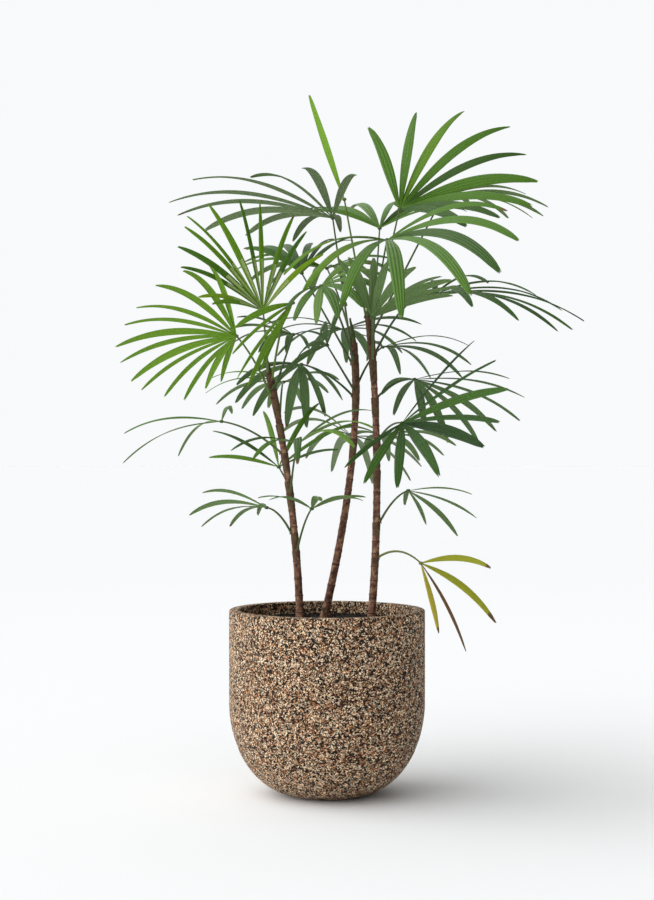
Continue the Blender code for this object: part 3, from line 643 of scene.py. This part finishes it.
# the last field picks the tint: bright carries painted light and deep carries painted shade
fronds = {
    "frond_spear": Frond("cane_right", 0.823, (0.030, 0.000, 1.030), (180, 70, 70),
        0, 1, 0.205, 0.014, 0.0, 0.00, "bright"),
    "frond_top_right": Frond("cane_right", 0.808, (0.125, -0.020, 1.010), (10, 32, 43),
        134, 9, 0.260, 0.023, 0.7, 0.00, "mid"),
    "frond_top_left": Frond("cane_middle", 0.762, (0.010, 0.020, 1.000), (-178, 12, 8),
        185, 10, 0.290, 0.018, 0.75, 0.00, "grey"),
    "frond_near_right": Frond("cane_right", 0.784, (0.100, -0.120, 0.945), (-76, -13, 17),
        127, 8, 0.335, 0.024, 1.05, 0.01, "mid"),
    "frond_outer_left": Frond("cane_left", 0.686, (-0.155, -0.040, 0.790), (-175, -5, 40),
        160, 13, 0.215, 0.013, 0.75, 0.01, "bright"),
    "frond_high_left": Frond("cane_left", 0.728, (-0.110, -0.020, 0.835), (180, 60, -50),
        128, 12, 0.210, 0.012, 0.5, 0.00, "bright"),
    "frond_crown_near": Frond("cane_right", 0.748, (0.075, -0.130, 0.815), (-66, 20, -15),
        98, 10, 0.190, 0.015, 0.45, 0.02, "mid"),
    "frond_right_side": Frond("cane_right", 0.760, (0.190, 0.050, 0.870), (-20, -5, 8),
        150, 9, 0.270, 0.018, 0.9, 0.03, "deep"),
    "frond_near_low": Frond("cane_right", 0.610, (0.125, -0.120, 0.640), (-60, -10, 43),
        125, 9, 0.255, 0.019, 0.3, 0.01, "deep"),
    "frond_right_middle": Frond("cane_right", 0.685, (0.155, 0.060, 0.720), (60, -20, -7),
        94, 9, 0.275, 0.016, 0.6, 0.01, "deep"),
    "frond_inner_left": Frond("cane_middle", 0.690, (-0.045, 0.030, 0.745), (116, -19, 23),
        110, 8, 0.215, 0.018, 1.0, 0.01, "deep"),
    "frond_near_left": Frond("cane_left", 0.714, (-0.057, -0.120, 0.840), (-177, -58, 29),
        90, 6, 0.155, 0.017, 0.6, 0.03, "bright"),
    "frond_near_middle": Frond("cane_middle", 0.748, (-0.010, -0.100, 0.870), (-60, -10, 30),
        150, 8, 0.140, 0.018, 1.2, 0.02, "grey"),
    "frond_inner_middle": Frond("cane_middle", 0.700, (0.000, -0.030, 0.775), (-95, 10, 50),
        165, 8, 0.170, 0.016, 1.0, 0.00, "deep"),
    "frond_low_near": Frond("cane_left", 0.520, (-0.050, -0.080, 0.605), (-76, 5, 16),
        108, 6, 0.235, 0.015, 0.85, 0.01, "mid"),
    "frond_low_back": Frond("cane_middle", 0.615, (0.045, 0.120, 0.620), (99, -5, 23),
        112, 7, 0.260, 0.015, 1.0, 0.01, "grey"),
    "frond_back_right": Frond("cane_middle", 0.710, (0.100, 0.110, 0.780), (68, -3, 2),
        90, 7, 0.260, 0.013, 0.8, 0.01, "deep"),
    "frond_back_left": Frond("cane_left", 0.540, (-0.085, 0.050, 0.565), (80, 40, -5),
        170, 6, 0.180, 0.010, 0.5, 0.00, "mid"),
    "frond_far_left": Frond("cane_left", 0.590, (-0.185, 0.030, 0.645), (130, -10, -10),
        103, 4, 0.245, 0.013, 0.85, 0.01, "mid"),
    "frond_low_left": Frond("cane_left", 0.450, (-0.105, 0.000, 0.495), (138, -4, 18),
        70, 5, 0.185, 0.012, 0.85, 0.01, "mid"),
    "frond_low_middle": Frond("cane_left", 0.420, (-0.026, -0.060, 0.495), (-83, 15, 0),
        151, 5, 0.135, 0.013, 0.7, 0.01, "mid"),
    "frond_low_right": Frond("cane_right", 0.470, (0.140, -0.020, 0.525), (46, -27, -10),
        94, 5, 0.160, 0.011, 0.6, 0.01, "mid"),
    "frond_yellow": Frond("cane_right", 0.410, (0.160, -0.050, 0.402), (35, -38, 85),
        100, 4, 0.185, 0.014, 0.9, 0.015, "yellow"),
    "frond_behind_left": Frond("cane_middle", 0.774, (-0.045, 0.080, 0.910), (92, 27, -5),
        90, 8, 0.200, 0.015, 0.7, 0.00, "deep"),
    "frond_behind_top": Frond("cane_right", 0.772, (0.095, 0.120, 0.995), (80, 25, 0),
        150, 9, 0.230, 0.018, 0.8, 0.00, "mid"),
    "frond_behind_right": Frond("cane_right", 0.796, (0.210, 0.140, 1.055), (20, 0, 0),
        120, 8, 0.200, 0.014, 0.8, 0.00, "mid"),
    "frond_small_left": Frond("cane_left", 0.700, (-0.060, 0.070, 0.800), (120, 0, 10),
        130, 7, 0.150, 0.013, 0.8, 0.00, "deep"),
    "frond_rear_top": Frond("cane_middle", 0.783, (0.000, 0.190, 0.930), (100, 5, 0),
        150, 9, 0.230, 0.018, 0.9, 0.01, "mid"),
    "frond_rear_middle": Frond("cane_middle", 0.720, (0.030, 0.220, 0.820), (90, -5, 0),
        150, 9, 0.230, 0.016, 0.9, 0.02, "deep"),
    "frond_rear_left": Frond("cane_left", 0.640, (-0.080, 0.180, 0.720), (110, -5, 0),
        140, 8, 0.200, 0.015, 0.9, 0.02, "mid"),
    "frond_rear_low": Frond("cane_right", 0.560, (0.100, 0.150, 0.620), (75, -5, 0),
        120, 8, 0.200, 0.015, 0.9, 0.02, "mid"),
}


def frondAxes(frond):
    azimuth, elevation, roll = (math.radians(angle) for angle in frond.facing)
    turn = Euler((roll, -elevation, azimuth)).to_matrix()
    return turn.col[0].copy(), turn.col[1].copy(), turn.col[2].copy()


def stalkPath(frond, drop, steps):
    start = caneAtHeight(canes[frond.cane], frond.start - drop)
    hub = Vector(frond.hub)
    outward = Vector((hub.x - start.x, hub.y - start.y, 0.0)).normalized()
    start += outward * caneLook["topRadius"]
    middle = (start + hub) / 2.0 + Vector((0.0, 0.0, 2.0 * frond.arch))
    path = []
    for share in shares(steps):
        point = start.lerp(middle, share).lerp(middle.lerp(hub, share), share)
        path.append((point, rule["stalkBase"] + (rule["stalkHub"] - rule["stalkBase"]) * share))
    return path


def tubeShape(path, sides, margin=0.0):
    # a plain tube for the clearance tests only
    shape = Shape()
    for index, (point, radius) in enumerate(path):
        along = alongAt(path, index)
        across = along.orthogonal().normalized()
        beside = along.cross(across)
        for side in range(sides):
            turn = 2.0 * math.pi * side / sides
            offset = across * math.cos(turn) + beside * math.sin(turn)
            shape.point(point + offset * (radius + margin))
    for index in range(len(path) - 1):
        ringOfFaces(shape, index * sides, (index + 1) * sides, sides)
    shape.face(tuple(range(sides))[::-1])
    shape.face(tuple(range((len(path) - 1) * sides, len(path) * sides)))
    return shape


def bodyWidth(share):
    swell = math.sin(min(share / rule["widestAt"], 1.0) * math.pi / 2.0)
    rise = rule["rootWidth"] + (1.0 - rule["rootWidth"]) * swell
    beyond = max(0.0, (share - rule["taperFrom"]) / (1.0 - rule["taperFrom"]))
    return rise * (1.0 - rule["taper"] * beyond ** rule["taperPower"])


def plainOutline(share):
    end = max(0.0, (share - rule["tipFrom"]) / (1.0 - rule["tipFrom"]))
    return bodyWidth(share) * math.sqrt(max(0.0, 1.0 - end * end))


def growBlade(frond, index, scatter, turn, sag, shrink):
    aim, side, normal = frondAxes(frond)
    share = index / (frond.blades - 1) if frond.blades > 1 else 0.5
    edge = (2.0 * share - 1.0) ** 2
    angle = math.radians(frond.spread * (0.5 - share) + turn + rule["angle"] * scatter[0])
    lift = math.radians(rule["cup"] + rule["outerLift"] * edge)
    heading = aim * math.cos(angle) + side * math.sin(angle)
    heading = heading * math.cos(lift) + normal * math.sin(lift)
    length = frond.length * (1.0 - rule["outerShort"] * edge) * shrink
    length *= 1.0 + rule["length"] * scatter[1]
    droop = frond.droop * (1.0 + rule["droop"] * scatter[2]) + sag
    width = frond.width * (1.0 - rule["outerNarrow"] * edge)
    face = Matrix.Rotation(math.radians(rule["twist"] * scatter[3]), 3, heading) @ normal
    centre = Vector(frond.hub) + heading * rule["root"]
    stations = []
    for share in shares(rule["steps"]):
        along = (heading - Vector((0.0, 0.0, droop * share ** rule["droopPower"]))).normalized()
        across = face.cross(along).normalized()
        face = along.cross(across).normalized()
        stations.append((centre.copy(), across, face, 0.5 * width * plainOutline(share)))
        centre += along * length / rule["steps"]
    return stations, length, width


def plainBlade(blade, margin=0.0):
    # the solids' three-sided blade, for the clearance tests only
    stations, length, _ = blade
    thickness = rule["thickness"] * length
    ridge = rule["ridge"] * thickness + margin
    sole = (1.0 - rule["ridge"]) * thickness + margin
    shape = Shape()
    for index in rule["stations"][:-1]:
        centre, across, face, halfWidth = stations[index]
        halfWidth += margin
        shape.point(centre + across * halfWidth - face * sole)
        shape.point(centre + face * ridge)
        shape.point(centre - across * halfWidth - face * sole)
    shape.point(stations[-1][0])
    rings = len(rule["stations"]) - 1
    tip = rings * 3
    for corner in range(3):
        beside = (corner + 1) % 3
        for ring in range(rings - 1):
            a, b = ring * 3 + corner, ring * 3 + beside
            shape.face((a, b, b + 3))
            shape.face((a, b + 3, a + 3))
        shape.face((tip - 3 + corner, tip - 3 + beside, tip))
    shape.face((2, 1, 0))
    return shape


def searchTree(shape):
    return BVHTree.FromPolygons(shape.vertices, shape.faces)


def isClear(shape, trees):
    tree = searchTree(shape)
    return not any(tree.overlap(other) for other in trees)


def planFronds():
    chance = random.Random(rule["seed"])
    caneTrees = {}
    for name, cane in canes.items():
        caneTrees[name] = searchTree(tubeShape(caneGuardPath(cane), rule["caneSides"]))
    stalks, guards, plan, grown = {}, {}, {}, []
    for name, frond in fronds.items():
        others = [tree for cane, tree in caneTrees.items() if cane != frond.cane]
        others += list(guards.values())
        for drop in range(rule["clearTries"]):
            path = stalkPath(frond, rule["clearStep"] * drop, rule["stalkSteps"])
            if isClear(tubeShape(path, rule["stalkSides"], rule["margin"]), others):
                break
        stalks[name] = stalkPath(frond, rule["clearStep"] * drop, leafLook["stalkSteps"])
        guard = tubeShape(path, rule["stalkSides"], rule["hub"] - rule["stalkHub"])
        guards[name] = searchTree(guard)
    for name, frond in fronds.items():
        others = list(caneTrees.values()) + grown
        others += [tree for other, tree in guards.items() if other != name]
        blades = []
        for index in range(frond.blades):
            scatter = [chance.uniform(-1.0, 1.0) for _ in range(4)]
            for turn, sag, shrink in dodges:
                blade = growBlade(frond, index, scatter, turn, sag, shrink)
                if isClear(plainBlade(blade, rule["margin"]), others):
                    blades.append(blade)
                    break
        grown += [searchTree(plainBlade(blade)) for blade in blades]
        plan[name] = (stalks[name], blades)
    return plan


leafLook = {
    "rows": 26, "thickness": 0.00045, "pleat": 0.075, "pleatFade": 0.5, "pleatRise": 8.0,
    "bow": 0.10, "ripple": 0.03, "rippleLength": 9.0, "rippleSkew": 1.5,
    "toothed": 0.035, "shortTooth": 0.35, "tipFrom": 0.90, "tipWidth": 0.55, "tipPower": 1.5,
    "narrowBlade": 0.0135, "middleBlade": 0.019, "stalkSides": 10, "stalkSteps": 24,
    "hubRadius": 0.0040, "hubFlat": 0.8, "hubSides": 12, "hubRows": 6, "sharpAngle": 22.0, "seed": 11,
    "dryChance": 0.15, "dryShare": (0.012, 0.04), "yellowDryShare": (0.04, 0.14),
    "witheredBlade": 2, "witheredWidth": 0.45, "ribReach": 0.45,
}
# three tones of the upper face, the underside, the stalk and the midrib of each tint; the bright tint, on
# the spear and the fronds on the lit left, is partly the young leaves' paler green and partly painted
# light, and the deep tint, on fronds inside the crown, behind it and on the right, is painted shade
leafTintsAndLight = {
    "bright": [(0.140, 0.310, 0.012), (0.230, 0.400, 0.014), (0.075, 0.200, 0.012),
               (0.180, 0.350, 0.032), (0.110, 0.170, 0.030), (0.440, 0.540, 0.200)],
    "mid": [(0.068, 0.170, 0.010), (0.108, 0.230, 0.012), (0.034, 0.092, 0.007),
            (0.150, 0.240, 0.085), (0.070, 0.120, 0.032), (0.200, 0.330, 0.090)],
    "deep": [(0.026, 0.082, 0.007), (0.044, 0.120, 0.010), (0.014, 0.048, 0.005),
             (0.105, 0.185, 0.062), (0.050, 0.090, 0.026), (0.120, 0.220, 0.055)],
    "grey": [(0.076, 0.165, 0.026), (0.115, 0.215, 0.036), (0.045, 0.105, 0.018),
             (0.190, 0.260, 0.130), (0.070, 0.110, 0.038), (0.220, 0.300, 0.140)],
    "yellow": [(0.400, 0.420, 0.025), (0.300, 0.380, 0.028), (0.500, 0.430, 0.045),
               (0.430, 0.430, 0.090), (0.180, 0.190, 0.045), (0.520, 0.480, 0.130)],
}
dryColour = (0.180, 0.100, 0.045)
ribbed = ("frond_high_left", "frond_outer_left")


def stationAt(stations, share):
    place = min(max(share, 0.0), 1.0) * (len(stations) - 1)
    index = min(int(place), len(stations) - 2)
    part = place - index
    (c0, a0, f0, _), (c1, a1, f1, _) = stations[index], stations[index + 1]
    return c0.lerp(c1, part), a0.lerp(a1, part).normalized(), f0.lerp(f1, part).normalized()


def fineBlade(shape, blade, chance, slots):
    # a pleated strap with a blunt, toothed tip; slots: upper, underside, midrib, dry tip
    k = leafLook
    stations, length, width = blade
    plies = 2 if width < k["narrowBlade"] else 3 if width < k["middleBlade"] else 4
    columns = 2 * plies + 1
    reach = []
    for column in range(columns):
        depth = chance.random() if column % 2 else k["shortTooth"] * chance.random()
        reach.append(1.0 - k["toothed"] * depth)
    phase, dryFrom = chance.uniform(*anyTurn), 1.0 - slots["dry"](chance)
    skins = [[], []]
    for row in range(k["rows"] + 1):
        for skin in (0, 1):
            line = []
            for column in range(columns):
                share = row / k["rows"] * reach[column]
                centre, across, face = stationAt(stations, share)
                end = max(0.0, (share - k["tipFrom"]) / (1.0 - k["tipFrom"]))
                half = 0.5 * width * bodyWidth(share) * (1.0 - k["tipWidth"] * end ** k["tipPower"])
                side = 1.0 - 2.0 * column / (columns - 1)
                fold = k["pleat"] * width * (0.5 if column % 2 else -0.5)
                fold = fold * (1.0 - k["pleatFade"] * share) * min(1.0, k["pleatRise"] * share)
                bow = -k["bow"] * half * side * side
                wave = math.sin(k["rippleLength"] * share + phase + k["rippleSkew"] * side)
                ripple = k["ripple"] * width * wave * share
                lift = fold + bow + ripple + (0.5 - skin) * k["thickness"]
                where = centre + across * half * side + face * lift
                line.append(shape.point(where, (column / (columns - 1), share)))
            skins[skin].append(line)
    upper, under = skins
    middle = plies - 1
    for row in range(k["rows"]):
        share = (row + 0.5) / k["rows"]
        for column in range(columns - 1):
            dry = share > dryFrom
            rib = slots["ribbed"] and share < k["ribReach"] and column in (middle, middle + 1)
            top = slots["dryFace"] if dry else slots["rib"] if rib else slots["upper"]
            below = slots["dryFace"] if dry else slots["under"]
            a, b = upper[row], upper[row + 1]
            shape.face((a[column], b[column], b[column + 1], a[column + 1]), top)
            a, b = under[row], under[row + 1]
            shape.face((a[column + 1], b[column + 1], b[column], a[column]), below)
        edge = slots["dryFace"] if share > dryFrom else slots["upper"]
        shape.face((upper[row][0], under[row][0], under[row + 1][0], upper[row + 1][0]), edge)
        shape.face((upper[row + 1][-1], under[row + 1][-1], under[row][-1], upper[row][-1]), edge)
    for column in range(columns - 1):
        a, b = upper[0], under[0]
        shape.face((a[column], a[column + 1], b[column + 1], b[column]), slots["upper"])
        a, b = upper[-1], under[-1]
        shape.face((b[column], b[column + 1], a[column + 1], a[column]), slots["dryFace"])


def addHub(shape, middle, slot):
    k = leafLook
    rings, sides = [], k["hubSides"]
    for row in range(1, k["hubRows"]):
        turn = math.pi * row / k["hubRows"]
        rings.append(len(shape.vertices))
        for side in range(sides):
            way = 2.0 * math.pi * side / sides
            level = Vector((math.cos(way), math.sin(way), 0.0)) * math.sin(turn)
            level.z = k["hubFlat"] * math.cos(turn)
            shape.point(middle + level * k["hubRadius"])
    for a, b in zip(rings, rings[1:]):
        ringOfFaces(shape, b, a, sides, slot)
    shape.face(tuple(range(rings[0], rings[0] + sides)), slot)
    shape.face(tuple(range(rings[-1], rings[-1] + sides))[::-1], slot)


def buildFronds(plan):
    # slots 0 to 5 of every frond are these, and slot 6 is the dry tip
    kinds = ("upperA", "upperB", "upperC", "under", "stalk", "rib")
    materials = {}
    # lit and shaded copies of the leaf: the bright tint's materials hold painted light, the deep tint's
    # painted shade
    for tint, colours in leafTintsAndLight.items():
        materials[tint] = []
        for kind, colour in zip(kinds, colours):
            finish = "matt" if kind == "under" else "glossy"
            materials[tint].append(leafMaterial(f"leaf_{tint}_{kind}", colour, finish))
    dry = leafMaterial("leaf_dry", dryColour, "matt")
    chance = random.Random(leafLook["seed"])
    bladeCount = faceCount = 0
    for name, (stalk, blades) in plan.items():
        frond = fronds[name]
        yellow = frond.tint == "yellow"
        shape = Shape()
        addTube(shape, stalk, leafLook["stalkSides"], [4] * leafLook["stalkSteps"])
        addHub(shape, stalk[-1][0], 4)

        def dryLength(dice):
            if yellow:
                return dice.uniform(*leafLook["yellowDryShare"])
            return dice.uniform(*leafLook["dryShare"]) if dice.random() < leafLook["dryChance"] else 0.0

        for index, blade in enumerate(blades):
            withered = yellow and index == leafLook["witheredBlade"]
            if withered:
                blade = (blade[0], blade[1], blade[2] * leafLook["witheredWidth"])
            slots = {
                "upper": 6 if withered else chance.choice((0, 0, 1, 2)), "under": 6 if withered else 3,
                "rib": 5, "dryFace": 6, "ribbed": name in ribbed, "dry": dryLength,
            }
            fineBlade(shape, blade, chance, slots)
        dressed = materials[frond.tint] + [dry]
        addPiece("fine_" + name, shape, dressed, [name], leafLook["sharpAngle"])
        bladeCount += len(blades)
        faceCount += len(shape.faces)
    print("fronds built:", len(plan), "fronds,", bladeCount, "blades,", faceCount, "faces")


# pale floor, painted lighter round the plant as painted light against the plant's shadow, a dome that is
# brighter to the left, one soft lamp from the upper left
studio = {
    "backdrop": screenColour(0.973, 0.980, 0.984), "dome": 0.74, "lean": 1.0, "lampShare": 0.30,
    "paintedLightGain": 1.035, "paintedLightReach": (0.9, 5.0),
    "lampElevation": 36.0, "lampAzimuth": 196.0, "lampAngle": 85.0, "floorRadius": 60.0, "floorSides": 96,
    "whitest": 0.97, "sensor": 36.0, "farClip": 200.0,
    "cameraDistance": 3.0, "cameraHeight": 0.595, "focal": 1729.0, "imageHeight": 900.0,
}


def buildStudio():
    s = studio
    scene = bpy.context.scene
    scene.view_settings.view_transform = "Standard"
    world = bpy.data.worlds.new("studioDome")
    scene.world = world
    world.use_nodes = True
    tree = world.node_tree
    tree.nodes.clear()
    seen = addNode(tree, "ShaderNodeBackground", {"Color": (*s["backdrop"], 1.0), "Strength": 1.0})
    way = addNode(tree, "ShaderNodeTexCoord")
    parts = addNode(tree, "ShaderNodeSeparateXYZ", {0: way.outputs["Generated"]})
    slope = {0: parts.outputs["X"], 1: -s["lean"] * s["dome"], 2: s["dome"]}
    lean = addNode(tree, "ShaderNodeMath", slope, operation="MULTIPLY_ADD")
    glow = {"Color": (1.0, 1.0, 1.0, 1.0), "Strength": lean.outputs[0]}
    dome = addNode(tree, "ShaderNodeBackground", glow)
    rays = addNode(tree, "ShaderNodeLightPath")
    mix = addNode(tree, "ShaderNodeMixShader", {
        0: rays.outputs["Is Camera Ray"], 1: dome.outputs[0], 2: seen.outputs[0]})
    addNode(tree, "ShaderNodeOutputWorld", {"Surface": mix.outputs[0]})
    lamp = bpy.data.lights.new("softLamp", "SUN")
    lamp.energy = s["lampShare"] * math.pi / math.sin(math.radians(s["lampElevation"]))
    lamp.angle = math.radians(s["lampAngle"])
    holder = bpy.data.objects.new("softLamp", lamp)
    scene.collection.objects.link(holder)
    up, around = math.radians(s["lampElevation"]), math.radians(s["lampAzimuth"])
    source = Vector((math.cos(up) * math.cos(around), math.cos(up) * math.sin(around), math.sin(up)))
    holder.rotation_euler = source.to_track_quat("Z", "Y").to_euler()
    turns = [2.0 * math.pi * side / s["floorSides"] for side in range(s["floorSides"])]
    rim = [(s["floorRadius"] * math.cos(t), s["floorRadius"] * math.sin(t), 0.0) for t in turns]
    mesh = bpy.data.meshes.new("studioFloor")
    mesh.from_pydata(rim, [], [tuple(range(len(rim)))])
    share = 1.0 / (s["dome"] + s["lampShare"])
    far = tuple(c * share for c in s["backdrop"])
    # near the plant the floor colour is raised: painted light that lifts the shade the plant casts on the
    # floor
    near = tuple(min(s["whitest"], c * s["paintedLightGain"]) for c in far)
    paint, tree, shader = newMaterial("studioFloor", far, 1.0)
    shader.inputs["Specular IOR Level"].default_value = 0.0
    where = addNode(tree, "ShaderNodeTexCoord")
    reach = addNode(tree, "ShaderNodeVectorMath", {0: where.outputs["Object"]}, operation="LENGTH")
    fade = addNode(tree, "ShaderNodeMapRange", {
        "Value": reach.outputs["Value"], "From Min": s["paintedLightReach"][0], "From Max": s["paintedLightReach"][1]})
    blend = addNode(tree, "ShaderNodeMix", {
        0: fade.outputs["Result"], 6: (*near, 1.0), 7: (*far, 1.0)}, data_type="RGBA")
    tree.links.new(blend.outputs[2], shader.inputs["Base Color"])
    mesh.materials.append(paint)
    floor = bpy.data.objects.new("studioFloor", mesh)
    scene.collection.objects.link(floor)
    camera = bpy.data.cameras.new("photoCamera")
    camera.sensor_width = s["sensor"]
    camera.lens = s["focal"] * camera.sensor_width / s["imageHeight"]
    camera.clip_end = s["farClip"]
    viewer = bpy.data.objects.new("photoCamera", camera)
    scene.collection.objects.link(viewer)
    viewer.location = (0.0, -s["cameraDistance"], s["cameraHeight"])
    viewer.rotation_euler = (math.radians(90.0), 0.0, 0.0)
    scene.camera = viewer
    print("studio built")


plan = planFronds()
buildPlanter()
buildSoil()
buildCanes({name: stalk for name, (stalk, _) in plan.items()})
buildFronds(plan)
buildStudio()
